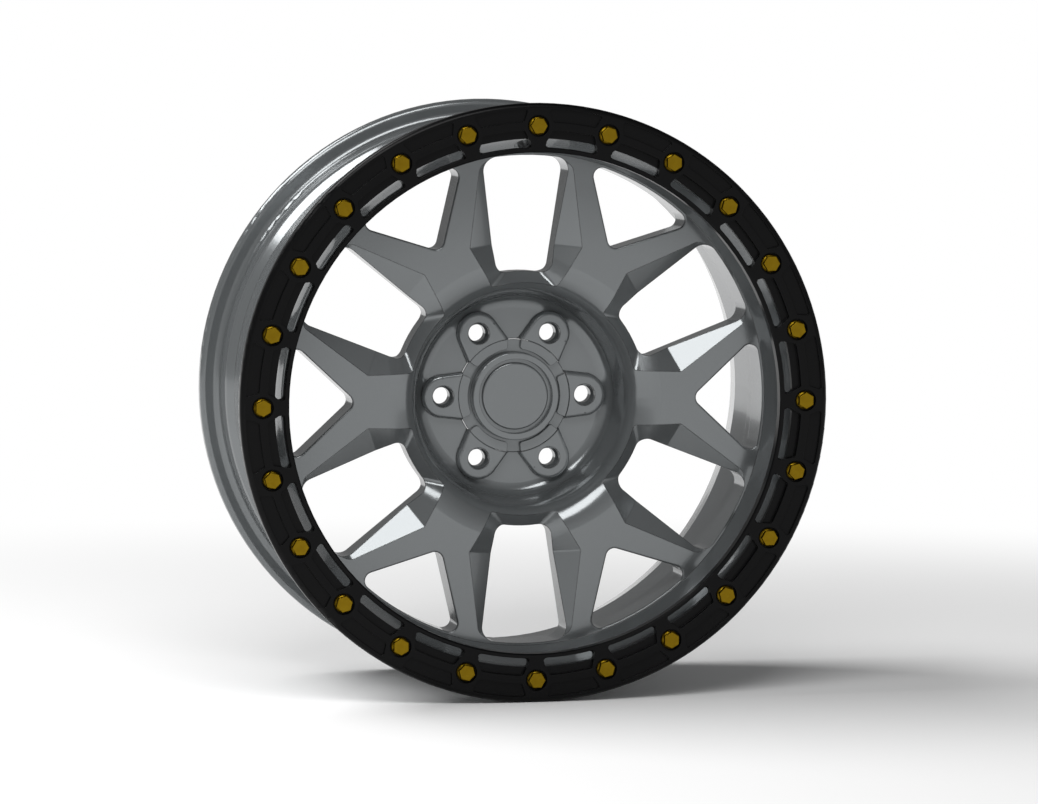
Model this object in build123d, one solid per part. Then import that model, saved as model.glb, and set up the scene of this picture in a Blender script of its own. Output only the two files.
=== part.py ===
"""Simulated beadlock wheel: cast wheel, bolted outer ring, and a snap-in centre cap.

The wheel turns about Y. The outer face looks along -Y and Z is up.
The origin is the centre of the hub bore, in the plane where the wheel meets the hub.
"""

import os
from math import cos, degrees, hypot, radians, sin, sqrt, tan

from build123d import *

os.makedirs("parts", exist_ok=True)

# Driving dimensions in millimetres, and angles in degrees. Positions along Y are counted from the hub face.
# Hub
SPOKES = 6
LUG_CIRCLE = 135.0
HUB_BORE = 106.1
LUG_HOLE = 16.0
LUG_SEAT = 20.2
LUG_SEAT_DEPTH = 6.5
LUG_CONE = 30.0
PAD_W = 19.5
PAD_H = 12.0
PAD_DRAFT = 4.0
PAD_EDGE = 3.0
PAD_Y = -21.6
HUB_FLOOR_Y = -14.0
RECESS_GAP = 4.4
RECESS_DRAFT = 12.4
RECESS_FILLET = 12.0
HUB_FACE_R = 96.0
HUB_BACK_R = 122.0
HUB_EDGE = (4.0, 2.0)
RELIEF_R = (61.0, 86.0)
RELIEF_HALF = 15.5
RELIEF_DEPTH = 5.0
RELIEF_CORNER = 6.0

# Rim, from the flat that carries the ring to the inner edge
RING_SEAT_Y = -111.0
RIM_W = 242.8
BEAD_SEAT_R = 256.4
BEAD_SEAT_W = 24.5
BEAD_TAPER = 5.0
BEAD_FILLET = 6.5
FLANGE_H = 17.8
FLANGE_T = 10.5
FLANGE_EDGE = 5.0
HUMP_H = 1.0
HUMP_W = 4.0
WELL_DROP = 18.7
WELL_Y = (-48.0, -8.0)
REAR_DROP = 8.2
REAR_RAMP = 30.0
REAR_RUN = 10.0
REAR_LIP = 6.4
BARREL_WALL = 8.0
BARREL_FILLET = 9.0

# Lip and spokes
LIP_INNER = 27.9
LIP_MIDDLE = 17.2
LIP_OUTER = 10.4
LIP_HOLLOW_R = 120.0
SPOKE_FACE_Y = -71.0
SPOKE_T = 35.0
FLARE_R = 31.0
FLARE_SHARE = 0.9
EDGE_R = 1.6

# Large windows: half widths and distances out from the axis, before their bevels
WINDOW_LIP = 2.2
WINDOW_INNER_R = 118.5
WINDOW_W = 40.0
WINDOW_W_AT = 211.0
WINDOW_FLARE = 0.154
WINDOW_LOW_R = 10.0
WINDOW_HIGH_R = 13.0
# Corners of the bevels: across, out and depth below the spoke face
TIP = (44.3, 213.5, 0.0)
KINK = (53.0, 140.6, 0.0)
CREASE = (28.5, 143.0, 15.0)
FOOT = (33.0, 108.0, 8.0)
BEVEL_BLEND = 4.0
SHOULDER_R = 12.5
HUB_SLOPE = 0.792
HUB_SLOPE_FROM = (108.4, 9.0)

# Small triangular windows
TRIANGLE_APEX = 158.9
TRIANGLE_HALF_ANGLE = 43.0
TRIANGLE_CORNER = 8.0

# Ring and its bolts
RING_BOLTS = 24
BOLT_CIRCLE_IN = 2.2
RING_OVERHANG = 0.8
RING_W = 45.0
RING_T = 10.5
RING_EDGE = 4.5
RING_CHAMFER = 1.2
OUTER_POCKET_RIM = 5.2
OUTER_POCKET_W = 11.9
OUTER_POCKET_DEPTH = 2.5
OUTER_POCKET_CORNER = 2.0
OUTER_POCKET_ENDS = (13.5, 9.6)
INNER_POCKET_RIM = 4.0
INNER_POCKET_W = 16.2
INNER_POCKET_DEPTH = 4.5
INNER_POCKET_CORNER = 2.5
INNER_POCKET_ENDS = (5.3, 12.8)
SLOT_RIM = 4.6
SLOT_W = 8.0
SLOT_END = 7.3
BOLT_D = 8.0
BOLT_LENGTH = 16.1
BOLT_HEAD_AF = 13.0
BOLT_HEAD_H = 7.2
BOLT_FLANGE_D = 17.5
BOLT_FLANGE_H = 2.2
BOLT_SEAT_DEPTH = 4.0

# Valve hole
VALVE_HOLE = 11.5
VALVE_ANGLE = 91.3
VALVE_TILT = 24.0
VALVE_SPOT = 18.0
VALVE_SPOT_DEPTH = 2.0
VALVE_IN = 19.9
VALVE_Y = -85.0
VALVE_REACH = 36.0

# Centre cap, counted from the hub floor where its plate ends
CAP_WALL = 2.4
CAP_BOSS_R = 41.0
CAP_BOSS_H = 13.2
CAP_BOSS_EDGE = 1.2
CAP_WELL_R = 35.0
CAP_WELL_DEPTH = 6.0
LOBE_H = 4.4
LOBE_GAP = 3.0
LOBE_HALF = 22.5
LOBE_CORNER = 3.0
LEG_ARC = 26.0
GROOVE_DEPTH = 1.35
GROOVE_W = 2.4
GROOVE_AT = 1.8
DISC_T = 2.8
DISC_EDGE = 2.0
SPRING_WIRE = 1.8
SPRING_GAP = 12.0

# Clearances
OVERCUT = 5.0
TAP_CLEAR = 0.2
TAP_SPARE = 0.9
RING_HOLE_CLEAR = 0.6
BOLT_SEAT_CLEAR = 1.05
CAP_CLEAR = 0.3
LEG_CLEAR = 0.45
BARB_CLEAR = 0.5
SHELF_CLEAR = 0.7
DISC_GAP = 3.5

# Derived values
STEP = 360.0 / SPOKES
BOLT_STEP = 360.0 / RING_BOLTS
BORE_R = HUB_BORE / 2
LUG_R = LUG_CIRCLE / 2
RECESS_R = LUG_R + PAD_W + PAD_H * tan(radians(PAD_DRAFT)) + RECESS_GAP
RECESS_MOUTH_R = RECESS_R + (HUB_FLOOR_Y - SPOKE_FACE_Y) * tan(radians(RECESS_DRAFT))
FLARE_TOP_R = RECESS_MOUTH_R + FLARE_R * tan(radians((90 - RECESS_DRAFT) / 2))
SPOKE_BACK_Y = SPOKE_FACE_Y + SPOKE_T
REAR_Y = RING_SEAT_Y + RIM_W
FLANGE_R = BEAD_SEAT_R + FLANGE_H
WELL_R = BEAD_SEAT_R - WELL_DROP
REAR_BARREL_R = BEAD_SEAT_R - REAR_DROP
LIP_INNER_R = BEAD_SEAT_R - LIP_INNER
LIP_OUTER_R = BEAD_SEAT_R - LIP_OUTER
WINDOW_OUTER_R = LIP_INNER_R - WINDOW_LIP
BOLT_CIRCLE_R = BEAD_SEAT_R - BOLT_CIRCLE_IN
RING_OUTER_R = FLANGE_R + RING_OVERHANG
RING_INNER_R = RING_OUTER_R - RING_W
RING_FRONT_Y = RING_SEAT_Y - RING_T
BOLT_SEAT_Y = RING_FRONT_Y + BOLT_SEAT_DEPTH
BOLT_END_Y = BOLT_SEAT_Y + BOLT_LENGTH
CAP_R = BORE_R - CAP_CLEAR
CAP_PLATE_Y = HUB_FLOOR_Y - CAP_WALL
CAP_BOSS_Y = CAP_PLATE_Y - CAP_BOSS_H
CAP_WELL_Y = CAP_BOSS_Y + CAP_WELL_DEPTH
LOBE_Y = CAP_PLATE_Y - LOBE_H
LOBE_R = CAP_BOSS_R + LOBE_GAP
GROOVE_R = BORE_R + GROOVE_DEPTH
GROOVE_Y = HUB_FLOOR_Y + GROOVE_AT
LEG_R = BORE_R - LEG_CLEAR
SPRING_SEAT_R = LEG_R - CAP_WALL
SPRING_SHELF_Y = GROOVE_Y + GROOVE_W - SHELF_CLEAR


def front_plane(y):
    """Drawing plane facing the outer side: its x is world X and its y is world Z."""
    return Plane(origin=(0, y, 0), x_dir=(1, 0, 0), z_dir=(0, -1, 0))


def about_y(shape, angle):
    """Turn a shape about the wheel's axis, anticlockwise as seen from the outer side."""
    return shape.rotate(Axis.Y, -angle)


def ring_of(shape, count, start=0.0):
    """Copies of a shape evenly spaced about the wheel's axis."""
    return [about_y(shape, start + 360.0 / count * k) for k in range(count)]


def prism(sketch, y_front, y_back):
    """Solid from a sketch on the front plane, between two positions along Y."""
    drawn = front_plane(y_back) * sketch
    return extrude(drawn, y_back - y_front, dir=(0, -1, 0))


def outline(corners):
    """Closed face from (x, y, radius) corners; radius 0 leaves the corner sharp."""
    face = make_face(Polyline(*[(x, y) for x, y, _ in corners], close=True)).face()
    for x, y, radius in corners:
        if radius:
            corner = face.vertices().sort_by_distance((x, y, 0))[0]
            face = face.fillet_2d(radius, [corner])
    return face


def turned(corners):
    """Solid of revolution about Y from (radius, y, corner radius) corners."""
    return revolve(outline(corners), Axis.Y)


def disc(radius, y_front, y_back):
    """Round bar about the wheel's axis."""
    return prism(Circle(radius), y_front, y_back)


def sector(r_in, r_out, half_in, half_out, radius):
    """Face between two arcs, centred on +Y of the sketch, with its own half angle at each arc."""
    pts = []
    for r, half in ((r_in, -half_in), (r_out, -half_out), (r_out, half_out), (r_in, half_in)):
        pts.append((r * sin(radians(half)), r * cos(radians(half))))
    a, b, c, d = pts
    edges = [
        Line(a, b),
        ThreePointArc(b, (0, r_out), c),
        Line(c, d),
        ThreePointArc(d, (0, r_in), a),
    ]
    face = make_face(edges).face()
    return face.fillet_2d(radius, face.vertices())


def bead(wall, inward):
    """Foot of a flange, tapered bead seat and safety hump, from the flange towards the middle."""
    taper = tan(radians(BEAD_TAPER))
    seat_end = BEAD_SEAT_R - BEAD_SEAT_W * taper
    hump_end = seat_end - HUMP_W * taper
    return [
        (BEAD_SEAT_R, wall, BEAD_FILLET),
        (seat_end, wall + inward * BEAD_SEAT_W, 0),
        (seat_end + HUMP_H, wall + inward * (BEAD_SEAT_W + HUMP_W), 0),
        (hump_end, wall + inward * (BEAD_SEAT_W + 2 * HUMP_W), 0),
    ]


def rim_and_disc():
    """Barrel, lip, spoke disc and hub as one turned blank, with its bore still undersize."""
    front_wall = RING_SEAT_Y + FLANGE_T
    rear_wall = REAR_Y - FLANGE_T
    ramp_end = WELL_Y[1] + REAR_RAMP
    rear_seat = bead(rear_wall, -1)
    hump_y = rear_seat[-1][1]
    outside = [
        (LIP_OUTER_R, RING_SEAT_Y, 0),
        (FLANGE_R, RING_SEAT_Y, 0),
        (FLANGE_R, front_wall, FLANGE_EDGE),
        *bead(front_wall, 1),
        (WELL_R, WELL_Y[0], 0),
        (WELL_R, WELL_Y[1], 0),
        (REAR_BARREL_R, ramp_end, 0),
        (REAR_BARREL_R, hump_y - REAR_RUN, 0),
        *reversed(rear_seat),
        (FLANGE_R, rear_wall, FLANGE_EDGE),
        (FLANGE_R, REAR_Y, 0),
    ]
    inside = [
        (BEAD_SEAT_R - REAR_LIP, REAR_Y, 0),
        (REAR_BARREL_R - BARREL_WALL, hump_y - REAR_RUN, 0),
        (REAR_BARREL_R - BARREL_WALL, ramp_end, 0),
        (WELL_R - BARREL_WALL, WELL_Y[1], 0),
        (WELL_R - BARREL_WALL, SPOKE_BACK_Y, BARREL_FILLET),
        (HUB_BACK_R, SPOKE_BACK_Y, 0),
        (HUB_FACE_R + HUB_EDGE[0], -HUB_EDGE[1], 0),
        (HUB_FACE_R, 0, 0),
        (BORE_R - OVERCUT, 0, 0),
    ]
    front = [
        (BORE_R - OVERCUT, HUB_FLOOR_Y, 0),
        (RECESS_R, HUB_FLOOR_Y, RECESS_FILLET),
        (RECESS_MOUTH_R, SPOKE_FACE_Y, FLARE_R),
        (LIP_INNER_R, SPOKE_FACE_Y, 0),
        (BEAD_SEAT_R - LIP_MIDDLE, (SPOKE_FACE_Y + RING_SEAT_Y) / 2, LIP_HOLLOW_R),
    ]
    return turned(outside + inside + front)


def window_hole():
    """Straight hole of one large window, centred on +Z."""
    top, bottom = WINDOW_OUTER_R + OVERCUT, WINDOW_INNER_R - 2 * OVERCUT
    top_w, bottom_w = [WINDOW_W + WINDOW_FLARE * (u - WINDOW_W_AT) for u in (top, bottom)]
    wedge = Polygon(
        (-top_w, top), (top_w, top), (bottom_w, bottom), (-bottom_w, bottom), align=None
    )
    face = (wedge & (Circle(WINDOW_OUTER_R) - Circle(WINDOW_INNER_R))).face()
    low = face.vertices().sort_by(Axis.Y)[:2]
    face = face.fillet_2d(WINDOW_LOW_R, low)
    high = face.vertices().sort_by(Axis.Y)[-2:]
    face = face.fillet_2d(WINDOW_HIGH_R, high)
    return prism(face, SPOKE_FACE_Y - OVERCUT, OVERCUT)


def below(a, b, c):
    """Block under the plane through three (across, out, depth) points."""
    pa, pb, pc = [Vector(v, SPOKE_FACE_Y + d, u) for v, u, d in (a, b, c)]
    normal = (pb - pa).cross(pc - pa).normalized()
    if normal.Y < 0:
        normal = normal * -1
    size = 2 * FLANGE_R
    block = Box(size, size, size / 4, align=(Align.CENTER, Align.CENTER, Align.MIN))
    return Plane(origin=pa, z_dir=normal) * block


def hub_slope_y(r):
    """Position along Y of the hub-side slope of a large window, at a distance from the axis."""
    from_r, from_depth = HUB_SLOPE_FROM
    return SPOKE_FACE_Y + from_depth + HUB_SLOPE * (r - from_r)


def above_lower_bevel():
    """Space above one lower bevel: its edge on the face, bent down the flare, carried along the bevel."""
    start = Vector(*KINK[:2])
    along = (Vector(*FOOT[:2]) - start).normalized()
    across = Vector(along.Y, -along.X)
    slope = CREASE[2] / (Vector(*CREASE[:2]) - start).dot(across)

    def run_to(r):
        """Distance along the edge from the kink to a circle about the axis."""
        nearest = -start.dot(along)
        return nearest - sqrt(nearest**2 - start.dot(start) + r**2)

    fall = FLARE_SHARE * FLARE_R
    bend, end = run_to(FLARE_TOP_R), run_to(FLARE_TOP_R - fall)
    drop = FLARE_R - sqrt(FLARE_R**2 - fall**2)
    size = FLANGE_R
    profile = [
        Line((-size, 0), (bend, 0)),
        TangentArc((bend, 0), (end, -drop), tangent=(1, 0)),
        Polyline((end, -drop), (end + size, -drop), (end + size, size), (-size, size), (-size, 0)),
    ]
    plane = Plane(
        origin=(start.X, SPOKE_FACE_Y, start.Y),
        x_dir=(along.X, 0, along.Y),
        z_dir=(across.X, 0, across.Y),
    )
    path = Vector(across.X, slope, across.Y).normalized()
    return extrude(Pos(*(path * -size)) * (plane * make_face(profile)), 2 * size, dir=path)


def lies_on(edge, level):
    """Whether an edge stays on a surface, given as a function that is zero there."""
    return all(abs(level(edge @ t)) < 0.05 for t in (0.1, 0.5, 0.9))


def window_bevels():
    """Bowl that leaves the four bevels and the hub-side slope of one large window, its valleys rounded."""
    near, far = RECESS_R, WINDOW_OUTER_R
    front = SPOKE_FACE_Y - 2 * OVERCUT
    bowl = turned(
        [(near, front, 0), (near, hub_slope_y(near), 0), (far, hub_slope_y(far), 0), (far, front, 0)]
    )
    low = above_lower_bevel()
    bowl = bowl & low & mirror(low, Plane.YZ)
    for side in (1, -1):
        tip, kink, crease = [(side * v, u, d) for v, u, d in (TIP, KINK, CREASE)]
        bowl = bowl - below(tip, kink, crease)
    bowl = bowl.solids().sort_by(Axis.Z)[-1]
    line = Vector(CREASE[0] - KINK[0], CREASE[2], CREASE[1] - KINK[1]).normalized()
    straight = bowl.edges().filter_by(GeomType.LINE)
    creases = [e for e in straight if abs(abs(e.tangent_at(0).X) - abs(line.X)) < 0.001]
    bowl = bowl.fillet(BEVEL_BLEND, creases)
    on_slope = [e for e in bowl.edges() if lies_on(e, lambda p: p.Y - hub_slope_y(hypot(p.X, p.Z)))]
    valleys = [e for e in on_slope if abs((e @ 0.5).X) > 1 and hypot((e @ 0.5).X, (e @ 0.5).Z) > near + 1]
    bowl = bowl.fillet(BEVEL_BLEND, valleys)
    on_top = [e for e in bowl.edges() if lies_on(e, lambda p: hypot(p.X, p.Z) - far)]
    shoulders = [e for e in on_top if abs((e @ 0).Y - (e @ 1).Y) > OVERCUT]
    return bowl.fillet(SHOULDER_R, shoulders)


def triangle_hole():
    """Straight hole of one small triangular window between two arms, centred on +Z."""
    top = WINDOW_OUTER_R + OVERCUT
    half = (top - TRIANGLE_APEX) * tan(radians(TRIANGLE_HALF_ANGLE))
    wedge = Polygon((0, TRIANGLE_APEX), (half, top), (-half, top), align=None)
    face = (wedge & Circle(WINDOW_OUTER_R)).face()
    face = face.fillet_2d(TRIANGLE_CORNER, face.vertices())
    return prism(face, SPOKE_FACE_Y - OVERCUT, OVERCUT)


def lug_pad():
    """One raised lug pad, centred on +Z, with drafted sides."""
    w = PAD_W + PAD_H * tan(radians(PAD_DRAFT))
    inner = BORE_R - OVERCUT
    foot_w = w + (LUG_R - inner) * tan(radians(PAD_DRAFT)) + 1
    sides = Polygon((-foot_w, inner), (foot_w, inner), (w, LUG_R), (-w, LUG_R), align=None)
    face = (sides + Pos(0, LUG_R) * Circle(w)).face()
    base = front_plane(PAD_Y + PAD_H) * face
    pad = extrude(base, PAD_H, dir=(0, -1, 0), taper=PAD_DRAFT)
    rim = [e for e in pad.edges() if abs(e.center().Y - PAD_Y) < 0.01 and e.center().Z > inner + 1]
    return fillet(rim, PAD_EDGE)


def lug_cutter():
    """Counterbore, conical nut seat and stud hole of one lug, centred on +Z."""
    seat, hole = LUG_SEAT / 2, LUG_HOLE / 2
    cone_y = PAD_Y + LUG_SEAT_DEPTH
    cone_end = cone_y + (seat - hole) / tan(radians(LUG_CONE))
    drill = turned(
        [
            (0, PAD_Y - OVERCUT, 0),
            (seat, PAD_Y - OVERCUT, 0),
            (seat, cone_y, 0),
            (hole, cone_end, 0),
            (hole, OVERCUT, 0),
            (0, OVERCUT, 0),
        ]
    )
    return Pos(0, 0, LUG_R) * drill


def valve_cutter():
    """Valve hole with its spot face, through the lip into the tyre's space."""
    tilt = radians(VALVE_TILT)
    middle = Plane(origin=(0, VALVE_Y, BEAD_SEAT_R - VALVE_IN), z_dir=(0, cos(tilt), sin(tilt)))
    hole = Cylinder(VALVE_HOLE / 2, 2 * VALVE_REACH)
    spot = Cylinder(VALVE_SPOT / 2, VALVE_REACH, align=(Align.CENTER, Align.CENTER, Align.MAX))
    return about_y(middle * (hole + Pos(0, 0, VALVE_SPOT_DEPTH) * spot), VALVE_ANGLE - 90)


def mouth_edges(body, cutters):
    """Edges of the spoke face that run along the given straight holes."""
    level = [e for e in body.edges() if abs(e.center().Y - SPOKE_FACE_Y) < 0.01]
    return [e for e in level if any(c.distance_to(e @ 0.5) < 0.01 for c in cutters)]


def wheel():
    """The casting, machined: windows, pads, lug holes, bolt holes, valve hole and cap groove."""
    body = rim_and_disc() + ring_of(lug_pad(), SPOKES, STEP / 2)
    body = body - disc(BORE_R, PAD_Y - OVERCUT, OVERCUT)
    triangles = ring_of(triangle_hole(), SPOKES, STEP / 2)
    body = body - triangles
    body = fillet(mouth_edges(body, triangles), EDGE_R)
    body = body - ring_of(window_hole(), SPOKES)
    body = body - ring_of(window_bevels(), SPOKES)
    groove = disc(GROOVE_R, GROOVE_Y, GROOVE_Y + GROOVE_W)
    tap = Pos(0, BOLT_CIRCLE_R) * Circle(BOLT_D / 2 + TAP_CLEAR)
    tapped = prism(tap, RING_SEAT_Y - OVERCUT, BOLT_END_Y + TAP_SPARE)
    relief = prism(sector(*RELIEF_R, RELIEF_HALF, RELIEF_HALF, RELIEF_CORNER), -RELIEF_DEPTH, OVERCUT)
    drilled = ring_of(lug_cutter(), SPOKES, STEP / 2) + ring_of(tapped, RING_BOLTS)
    drilled += ring_of(relief, SPOKES)
    return body - [*drilled, groove, valve_cutter()]


def between_bolts(r_in, r_out, gap_in, gap_out, corner):
    """Sector between two bolts, ending the given distances from each bolt's own radius."""
    half_in, half_out = [BOLT_STEP / 2 - degrees(g / r) for g, r in ((gap_in, r_in), (gap_out, r_out))]
    return sector(r_in, r_out, half_in, half_out, corner)


def beadlock_ring():
    """Ring with an outer pocket, and an inner pocket with a slot, between each pair of bolts."""
    ring = turned(
        [
            (RING_INNER_R, RING_FRONT_Y + RING_CHAMFER, 0),
            (RING_INNER_R + RING_CHAMFER, RING_FRONT_Y, 0),
            (RING_OUTER_R, RING_FRONT_Y, RING_EDGE),
            (RING_OUTER_R, RING_SEAT_Y, 0),
            (RING_INNER_R, RING_SEAT_Y, 0),
        ]
    )
    above, through = RING_FRONT_Y - OVERCUT, RING_SEAT_Y + OVERCUT
    rim = RING_OUTER_R - OUTER_POCKET_RIM
    outer = between_bolts(rim - OUTER_POCKET_W, rim, *OUTER_POCKET_ENDS, OUTER_POCKET_CORNER)
    rim = RING_INNER_R + INNER_POCKET_RIM
    inner = between_bolts(rim, rim + INNER_POCKET_W, *INNER_POCKET_ENDS, INNER_POCKET_CORNER)
    rim = RING_INNER_R + SLOT_RIM
    slot = between_bolts(rim, rim + SLOT_W, SLOT_END, SLOT_END, SLOT_W / 2 - 0.1)
    at_bolt = Pos(0, BOLT_CIRCLE_R)
    seat = at_bolt * Circle(BOLT_FLANGE_D / 2 + BOLT_SEAT_CLEAR)
    hole = at_bolt * Circle(BOLT_D / 2 + RING_HOLE_CLEAR)
    between = BOLT_STEP / 2
    cuts = ring_of(prism(outer, above, RING_FRONT_Y + OUTER_POCKET_DEPTH), RING_BOLTS, between)
    cuts += ring_of(prism(inner, above, RING_FRONT_Y + INNER_POCKET_DEPTH), RING_BOLTS, between)
    cuts += ring_of(prism(slot, above, through), RING_BOLTS, between)
    cuts += ring_of(prism(seat, above, BOLT_SEAT_Y), RING_BOLTS)
    cuts += ring_of(prism(hole, above, through), RING_BOLTS)
    return ring - cuts


def ring_bolt():
    """Hexagon flange bolt, on the bolt circle above the centre."""
    r = BOLT_FLANGE_D / 2
    turned_part = turned(
        [
            (0, BOLT_SEAT_Y - BOLT_FLANGE_H, 0),
            (r - 0.9 * BOLT_FLANGE_H, BOLT_SEAT_Y - BOLT_FLANGE_H, 0),
            (r, BOLT_SEAT_Y - BOLT_FLANGE_H / 2, 0),
            (r, BOLT_SEAT_Y, 0),
            (BOLT_D / 2, BOLT_SEAT_Y, 0),
            (BOLT_D / 2, BOLT_END_Y, 0),
            (0, BOLT_END_Y, 0),
        ]
    )
    hexagon = RegularPolygon(BOLT_HEAD_AF / 2, 6, major_radius=False)
    head = prism(hexagon, BOLT_SEAT_Y - BOLT_HEAD_H, BOLT_SEAT_Y - BOLT_FLANGE_H / 2)
    return Pos(0, 0, BOLT_CIRCLE_R) * (turned_part + head)


def ring_bolts():
    """All the ring's bolts, as separate solids."""
    return Compound(children=ring_of(ring_bolt(), RING_BOLTS))


def snap_leg():
    """One springy leg of the cap, with a barb for the groove and a shelf for the wire ring."""
    root_y = HUB_FLOOR_Y - CAP_WALL / 4
    barb_r = GROOVE_R - BARB_CLEAR
    end_y = SPRING_SHELF_Y + 0.5
    shelf_r = SPRING_SEAT_R - SPRING_WIRE * 0.6
    section = outline(
        [
            (SPRING_SEAT_R, root_y, 0),
            (LEG_R, root_y, 0),
            (LEG_R, GROOVE_Y + 0.2, 0),
            (barb_r, GROOVE_Y + 0.7, 0),
            (barb_r, GROOVE_Y + GROOVE_W / 2, 0),
            (LEG_R - LEG_CLEAR, end_y, 0),
            (shelf_r, end_y, 0),
            (shelf_r, SPRING_SHELF_Y, 0),
            (SPRING_SEAT_R, SPRING_SHELF_Y, 0),
        ]
    )
    return revolve(section, Axis.Y, LEG_ARC).rotate(Axis.Y, -LEG_ARC / 2 - 90)


def centre_cap():
    """Cap moulding: plate in the bore, hollow boss, six lobes and six snap legs."""
    body = turned(
        [
            (0, CAP_WELL_Y, 0),
            (CAP_WELL_R, CAP_WELL_Y, 0),
            (CAP_WELL_R, CAP_BOSS_Y, 0),
            (CAP_BOSS_R, CAP_BOSS_Y, CAP_BOSS_EDGE),
            (CAP_BOSS_R, CAP_PLATE_Y, 0),
            (LOBE_R, CAP_PLATE_Y, 0),
            (LOBE_R, LOBE_Y, 0),
            (CAP_R, LOBE_Y, 0),
            (CAP_R, HUB_FLOOR_Y, 0),
            (CAP_BOSS_R - CAP_WALL, HUB_FLOOR_Y, 0),
            (CAP_BOSS_R - CAP_WALL, CAP_WELL_Y + CAP_WALL, 0),
            (0, CAP_WELL_Y + CAP_WALL, 0),
        ]
    )
    gap_half = STEP / 2 - LOBE_HALF
    gap = sector(LOBE_R - 1, CAP_R + OVERCUT, gap_half, gap_half, 0.5)
    body = body - ring_of(prism(gap, LOBE_Y - OVERCUT, CAP_PLATE_Y), SPOKES)
    upright = [e for e in body.edges() if e.length < LOBE_H + 0.01 and abs(e.tangent_at(0).Y) > 0.99]
    inner = [e for e in upright if abs(hypot(e.center().X, e.center().Z) - LOBE_R) < 0.01]
    return fillet(inner, LOBE_CORNER) + ring_of(snap_leg(), SPOKES, STEP / 2)


def cap_disc():
    """Plain round plate let into the cap's boss."""
    r = CAP_WELL_R - DISC_GAP
    return turned(
        [
            (0, CAP_WELL_Y, 0),
            (r, CAP_WELL_Y, 0),
            (r, CAP_WELL_Y - DISC_T, DISC_EDGE),
            (0, CAP_WELL_Y - DISC_T, 0),
        ]
    )


def cap_spring_ring():
    """Open wire ring behind the cap that pushes the snap legs out."""
    wire = SPRING_WIRE / 2
    section = Pos(SPRING_SEAT_R - wire, SPRING_SHELF_Y - wire) * Circle(wire)
    return revolve(section, Axis.Y, 360 - SPRING_GAP)


PARTS = {
    "wheel": wheel,
    "beadlock_ring": beadlock_ring,
    "ring_bolts": ring_bolts,
    "centre_cap": centre_cap,
    "cap_disc": cap_disc,
    "cap_spring_ring": cap_spring_ring,
}

if __name__ == "__main__":
    for node, make in PARTS.items():
        export_step(make(), f"parts/{node}.step")
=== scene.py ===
"""Looks of the simulated beadlock wheel: paint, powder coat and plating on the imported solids, and a studio."""

from math import cos, pi, radians, sin, tau

import bmesh
import bpy
from mathutils import Matrix, Vector


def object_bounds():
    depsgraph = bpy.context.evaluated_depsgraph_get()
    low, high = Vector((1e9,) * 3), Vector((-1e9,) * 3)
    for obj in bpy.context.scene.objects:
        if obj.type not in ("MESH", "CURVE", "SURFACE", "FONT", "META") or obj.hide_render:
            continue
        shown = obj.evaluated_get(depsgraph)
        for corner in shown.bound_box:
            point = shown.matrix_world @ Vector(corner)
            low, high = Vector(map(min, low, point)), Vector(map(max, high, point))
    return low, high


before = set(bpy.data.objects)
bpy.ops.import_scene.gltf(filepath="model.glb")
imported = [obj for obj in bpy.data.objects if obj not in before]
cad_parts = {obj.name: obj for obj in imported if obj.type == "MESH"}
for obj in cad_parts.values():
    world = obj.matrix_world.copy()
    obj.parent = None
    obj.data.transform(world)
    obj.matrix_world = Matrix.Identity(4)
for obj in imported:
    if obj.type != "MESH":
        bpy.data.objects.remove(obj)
cad_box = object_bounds()

# Camera, in metres and degrees
CAMERA_AT = Vector((-0.973173, -4.440975, 0.360511))
AZIMUTH, ELEVATION, ROLL = -12.4753, 4.6290, 0.2040
SENSOR_MM = 36.0
LENS_MM = 168.54
CLIP_END = 100.0

# Linear base colours
GUNMETAL = (0.176, 0.187, 0.192)
RING_BLACK = (0.0020, 0.0020, 0.0022)
ZINC_TINTS = ((0.185, 0.110, 0.0052), (0.262, 0.170, 0.0092))
STEEL = (0.45, 0.45, 0.46)
FLOOR_WHITE = (0.93, 0.93, 0.93)
WHITE = (1.0, 1.0, 1.0, 1.0)

# Rounding of edges in the shading, in metres
WHEEL_EDGE, RING_EDGE, BOLT_EDGE, CAP_EDGE, DISC_EDGE = 0.0013, 0.0009, 0.0006, 0.0006, 0.0005
EDGE_SAMPLES = 4

# Painted shade along a rounded edge, standing in for the dark reflections in its rounding: cosine of the
# normal's turn, and the share of the colour kept there
EDGE_TURN = (0.965, 0.998)
EDGE_SHADE_KEPT = (0.10, 1.0)

# Floor: height, radius, and the distances from the middle of the frame between which it fades to white
FLOOR_Z = cad_box[0][2]
FLOOR_R = 12.0
FLOOR_FADE = (0.7, 1.6)

# Strength of the world for rays other than those that see it white; the studio walls stand before it
AMBIENT = 0.50

# Studio walls: brightness by height as (sine of the elevation, level), and by how far round from the
# front, which is turned to the right by so many degrees
SHELL_R = 9.0
WALL_LEVELS = (
    (-1.0, 0.90), (-0.29, 0.60), (0.0, 0.52), (0.12, 0.47),
    (0.5, 0.27), (0.75, 0.17), (0.9, 0.05), (1.0, 0.03),
)
WALL_FRONT = 12.0
WALL_SHARE = (0.45, 1.12)


def new_tree(owner):
    """Empty node tree of a material or world."""
    owner.use_nodes = True
    owner.node_tree.nodes.clear()
    return owner.node_tree


def node(tree, kind, inputs=None, **settings):
    """Add a node; inputs are values, or sockets to link from."""
    made = tree.nodes.new(kind)
    for key, value in settings.items():
        setattr(made, key, value)
    for key, value in (inputs or {}).items():
        if isinstance(value, bpy.types.NodeSocket):
            tree.links.new(value, made.inputs[key])
        else:
            made.inputs[key].default_value = value
    return made


def new_material(name):
    """Empty material, its node tree, and the place on the object."""
    made = bpy.data.materials.new(name)
    tree = new_tree(made)
    return made, tree, node(tree, "ShaderNodeTexCoord").outputs["Object"]


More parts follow.
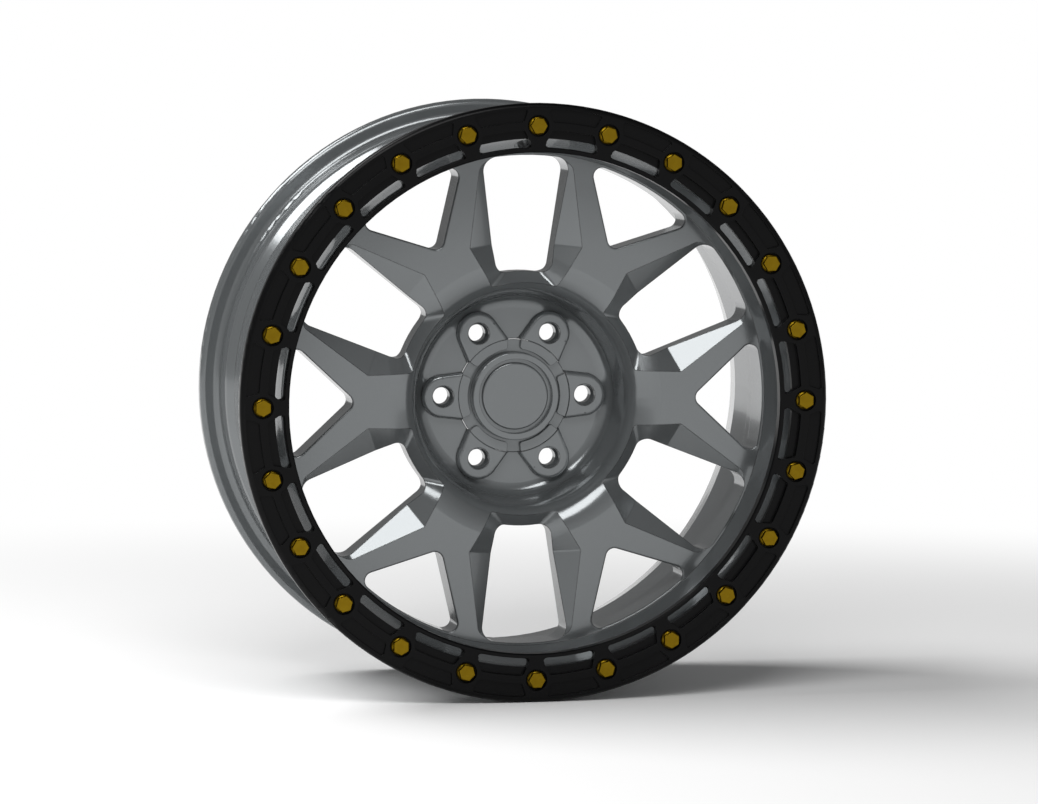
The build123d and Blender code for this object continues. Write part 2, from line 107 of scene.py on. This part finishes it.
def noise(tree, where, scale, detail=2.0, rough=0.5):
    """Fractal noise at so many waves a metre."""
    made = node(
        tree, "ShaderNodeTexNoise",
        {"Vector": where, "Scale": scale, "Detail": detail, "Roughness": rough},
    )
    return made.outputs["Fac"]


def ranged(tree, value, source, target):
    """Value carried from one range to another."""
    made = node(
        tree, "ShaderNodeMapRange",
        {
            "Value": value, "From Min": source[0], "From Max": source[1],
            "To Min": target[0], "To Max": target[1],
        },
    )
    return made.outputs["Result"]


def between(tree, value, low, high):
    """Value from 0..1 spread over low..high."""
    return ranged(tree, value, (0.0, 1.0), (low, high))


def vector(tree, operation, inputs, output="Vector"):
    """Result of a vector calculation."""
    return node(tree, "ShaderNodeVectorMath", inputs, operation=operation).outputs[output]


def two_tone(tree, value, colours):
    """Colour between two by a 0..1 value."""
    stops = node(tree, "ShaderNodeValToRGB", {"Fac": value})
    for stop, colour in zip(stops.color_ramp.elements, colours):
        stop.color = (*colour, 1.0)
    return stops.outputs["Color"]


def shade_of(tree, colour, value, low, high):
    """One colour, darker and lighter by a 0..1 value."""
    return two_tone(tree, value, [[min(1.0, c * share) for c in colour] for share in (low, high)])


def rounded_edges(tree, radius):
    """Normal that turns smoothly over the edges."""
    return node(tree, "ShaderNodeBevel", {"Radius": radius}, samples=EDGE_SAMPLES).outputs["Normal"]


def skin_on(tree, normal, height, strength, depth):
    """Normal with a fine relief on it, so many metres deep."""
    made = node(
        tree, "ShaderNodeBump",
        {"Height": height, "Strength": strength, "Distance": depth, "Normal": normal},
    )
    return made.outputs["Normal"]


def finish(tree, shader):
    """Wire a shader to the material's output."""
    node(tree, "ShaderNodeOutputMaterial", {"Surface": shader.outputs[0]})


def principled(tree, inputs):
    """Wire up the usual surface shader."""
    finish(tree, node(tree, "ShaderNodeBsdfPrincipled", inputs))


def gunmetal(name, edge):
    """Satin gunmetal paint: fine metal flake, slight orange peel, a clear coat, and painted shade that darkens
    the colour along rounded edges.
    """
    made, tree, where = new_material(name)
    flake = noise(tree, where, 1500.0, 1.0)
    cloud = noise(tree, where, 9.0, 3.0)
    peel = noise(tree, where, 420.0, 2.0)
    colour = shade_of(tree, GUNMETAL, flake, 0.94, 1.06)
    rounded = rounded_edges(tree, edge)
    flat = node(tree, "ShaderNodeNewGeometry").outputs["Normal"]
    # Painted shade: the colour is scaled down where the rounded normal turns away from the flat one, as the dark
    # reflections of an edge's rounding would darken it
    turn = vector(tree, "DOT_PRODUCT", {0: rounded, 1: flat}, "Value")
    painted_edge_shade = ranged(tree, turn, EDGE_TURN, EDGE_SHADE_KEPT)
    skin = skin_on(tree, rounded, peel, 0.01, 0.0001)
    principled(tree, {
        "Base Color": vector(tree, "SCALE", {0: colour, "Scale": painted_edge_shade}),
        "Metallic": 0.55,
        "Roughness": between(tree, cloud, 0.15, 0.20),
        "Coat Weight": 0.30,
        "Coat Roughness": 0.04,
        "Coat IOR": 1.5,
        "Normal": skin,
        "Coat Normal": skin,
    })
    return made


def black_coat(name):
    """Satin black powder coat: fine pebbled skin, a little uneven in gloss."""
    made, tree, where = new_material(name)
    pebble = noise(tree, where, 900.0, 2.0)
    cloud = noise(tree, where, 14.0, 3.0)
    principled(tree, {
        "Base Color": shade_of(tree, RING_BLACK, cloud, 0.8, 1.2),
        "Roughness": between(tree, cloud, 0.24, 0.34),
        "Specular IOR Level": 0.12,
        "Normal": skin_on(tree, rounded_edges(tree, RING_EDGE), pebble, 0.10, 0.0002),
    })
    return made


def gold_zinc(name):
    """Yellow zinc plating: warm metal, its tint drifting a little, with faint forging grain."""
    made, tree, where = new_material(name)
    drift = noise(tree, where, 160.0, 3.0)
    grain = noise(tree, where, 1800.0, 3.0, 0.6)
    principled(tree, {
        "Base Color": two_tone(tree, drift, ZINC_TINTS),
        "Metallic": 1.0,
        "Roughness": between(tree, grain, 0.26, 0.40),
        "Normal": skin_on(tree, rounded_edges(tree, BOLT_EDGE), grain, 0.10, 0.0002),
    })
    return made


def spring_wire(name):
    """Spring steel: fine mottling and a dull grey shine."""
    made, tree, where = new_material(name)
    drawn = noise(tree, where, 1400.0, 3.0)
    principled(tree, {
        "Base Color": shade_of(tree, STEEL, drawn, 0.8, 1.15),
        "Metallic": 1.0,
        "Roughness": between(tree, drawn, 0.25, 0.42),
    })
    return made


def dress(node_name, material):
    """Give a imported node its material."""
    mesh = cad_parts[node_name].data
    mesh.materials.clear()
    mesh.materials.append(material)


dress("wheel", gunmetal("gunmetal_paint", WHEEL_EDGE))
dress("beadlock_ring", black_coat("black_powder_coat"))
dress("ring_bolts", gold_zinc("yellow_zinc"))
dress("centre_cap", gunmetal("cap_paint", CAP_EDGE))
dress("cap_disc", gunmetal("disc_paint", DISC_EDGE))
dress("cap_spring_ring", spring_wire("spring_steel"))


def in_scene(name, data):
    """Object made of some data and put in the scene."""
    made = bpy.data.objects.new(name, data)
    bpy.context.scene.collection.objects.link(made)
    return made


def flat_disc(name, radius, z, steps=96):
    """Round plate in the floor's plane."""
    mesh = bpy.data.meshes.new(name)
    turns = [tau * k / steps for k in range(steps)]
    mesh.from_pydata([(radius * cos(t), radius * sin(t), z) for t in turns], [], [tuple(range(steps))])
    return in_scene(name, mesh)


def facing(place, target=Vector((0, 0, 0))):
    """Matrix at a place whose -Z looks at the target."""
    turn = (target - place).to_track_quat("-Z", "Y").to_matrix().to_4x4()
    return Matrix.Translation(place) @ turn


def along(azimuth, elevation, distance):
    """Point seen from the wheel: azimuth from straight ahead to the right, elevation above the level."""
    a, e = radians(azimuth), radians(elevation)
    return Vector((sin(a) * cos(e), -cos(a) * cos(e), sin(e))) * distance


def softbox(name, place, width, height, brightness):
    """Area lamp aimed at the wheel; brightness is for each square metre of its face."""
    lamp = bpy.data.lights.new(name, "AREA")
    lamp.shape = "RECTANGLE"
    lamp.size, lamp.size_y = width, height
    lamp.energy = brightness * pi * width * height
    in_scene(name, lamp).matrix_world = facing(place)


def shell():
    """Walls of the studio, out of the picture, which light the wheel: grey in front, dark above and behind."""
    mesh = bpy.data.meshes.new("studio_walls")
    build = bmesh.new()
    bmesh.ops.create_uvsphere(build, u_segments=48, v_segments=24, radius=SHELL_R)
    build.to_mesh(mesh)
    build.free()
    made = in_scene("studio_walls", mesh)
    material, tree, where = new_material("studio_walls")
    way = vector(tree, "NORMALIZE", {0: where})
    height = node(tree, "ShaderNodeSeparateXYZ", {"Vector": way}).outputs["Z"]
    levels = node(tree, "ShaderNodeValToRGB", {"Fac": ranged(tree, height, (-1.0, 1.0), (0.0, 1.0))})
    stops = levels.color_ramp.elements
    for sine, level in WALL_LEVELS[1:-1]:
        stops.new((sine + 1) / 2)
    for stop, (sine, level) in zip(stops, WALL_LEVELS):
        stop.color = (level, level, level, 1.0)
    ahead = vector(tree, "DOT_PRODUCT", {0: way, 1: along(WALL_FRONT, 0, 1.0)}, "Value")
    share = ranged(tree, ahead, (-1.0, 1.0), WALL_SHARE)
    lit = node(tree, "ShaderNodeMath", {0: levels.outputs["Color"], 1: share}, operation="MULTIPLY")
    finish(tree, node(tree, "ShaderNodeEmission", {"Color": WHITE, "Strength": lit.outputs["Value"]}))
    material.cycles.emission_sampling = "NONE"
    mesh.materials.append(material)
    made.visible_camera = False


def floor():
    """Pale floor that takes the shadow near the wheel and fades to white further out."""
    made = flat_disc("floor", FLOOR_R, FLOOR_Z)
    material, tree, where = new_material("floor_white")
    fade = node(
        tree, "ShaderNodeMapRange",
        {
            "Value": vector(tree, "LENGTH", {0: where}, "Value"),
            "From Min": FLOOR_FADE[0], "From Max": FLOOR_FADE[1],
        },
        interpolation_type="SMOOTHSTEP",
    )
    matt = node(tree, "ShaderNodeBsdfDiffuse", {"Color": (*FLOOR_WHITE, 1.0)})
    white = node(tree, "ShaderNodeEmission", {"Color": WHITE, "Strength": 1.0})
    mixed = node(
        tree, "ShaderNodeMixShader",
        {0: fade.outputs["Result"], 1: matt.outputs["BSDF"], 2: white.outputs["Emission"]},
    )
    finish(tree, mixed)
    made.data.materials.append(material)


def surroundings():
    """World that is white to camera, glossy and transmission rays."""
    world = bpy.data.worlds.new("studio")
    bpy.context.scene.world = world
    tree = new_tree(world)
    path = node(tree, "ShaderNodeLightPath")
    seen = path.outputs["Is Camera Ray"]
    for ray in ("Is Glossy Ray", "Is Transmission Ray"):
        either = node(tree, "ShaderNodeMath", {0: seen, 1: path.outputs[ray]}, operation="MAXIMUM")
        seen = either.outputs["Value"]
    sky = node(
        tree, "ShaderNodeBackground",
        {"Color": WHITE, "Strength": between(tree, seen, AMBIENT, 1.0)},
    )
    node(tree, "ShaderNodeOutputWorld", {"Surface": sky.outputs["Background"]})


def camera():
    """Camera at the photograph's place, angle and focal length."""
    data = bpy.data.cameras.new("camera")
    data.sensor_fit = "HORIZONTAL"
    data.sensor_width = SENSOR_MM
    data.lens = LENS_MM
    data.clip_end = CLIP_END
    made = in_scene("camera", data)
    a, r = radians(AZIMUTH), radians(ROLL)
    back = along(AZIMUTH, ELEVATION, 1.0)
    level = Vector((cos(a), sin(a), 0))
    upright = back.cross(level)
    right = level * cos(r) + upright * sin(r)
    up = upright * cos(r) - level * sin(r)
    turn = Matrix((right, up, back)).transposed().to_4x4()
    made.matrix_world = Matrix.Translation(CAMERA_AT) @ turn
    bpy.context.scene.camera = made


floor()
surroundings()
camera()
shell()
softbox("key", along(-20, 47, 2.5), 1.7, 1.0, 6.0)
softbox("rim", Vector((-1.7, 0.7, 2.2)), 2.0, 1.6, 7.2)

bpy.context.scene.view_settings.view_transform = "Standard"
